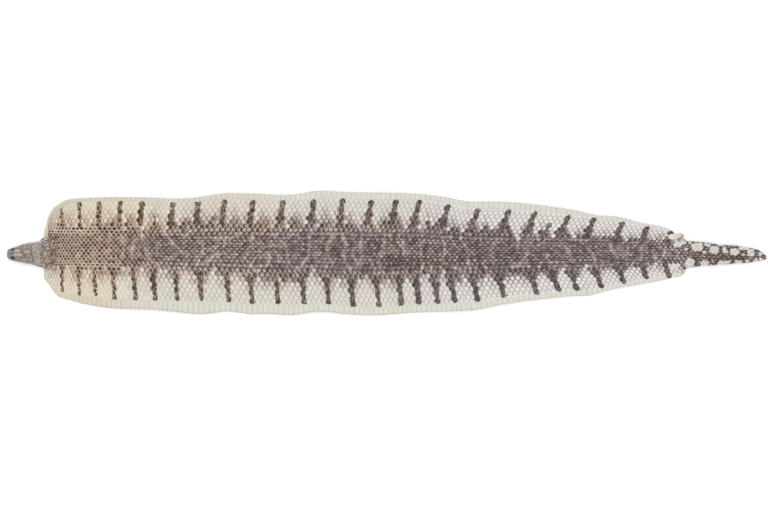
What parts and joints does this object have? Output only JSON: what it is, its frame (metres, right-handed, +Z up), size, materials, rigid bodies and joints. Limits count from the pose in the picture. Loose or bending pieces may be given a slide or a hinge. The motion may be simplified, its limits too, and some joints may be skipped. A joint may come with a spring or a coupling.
{
  "type": "snake skin with head",
  "caption": "Dried snake skin with its head on, opened along the belly and laid flat: a wedge head, a thin banded hide with pale flanks and a closed, tapering tail.",
  "frame": {"origin": "centre of the skin's outline, on the surface it lies on", "axes": "+X from the head towards the tail tip, +Y towards the animal's right flank, +Z up out of the back"},
  "size_m": [0.759, 0.1237, 0.0076],
  "materials": {
    "skin": "dry scaled hide, satin on the pale flanks and belly plates, duller on the dark keeled back"
  },
  "bodies": {
    "root": {"snake_skin": "skin"}
  },
  "joints": []
}
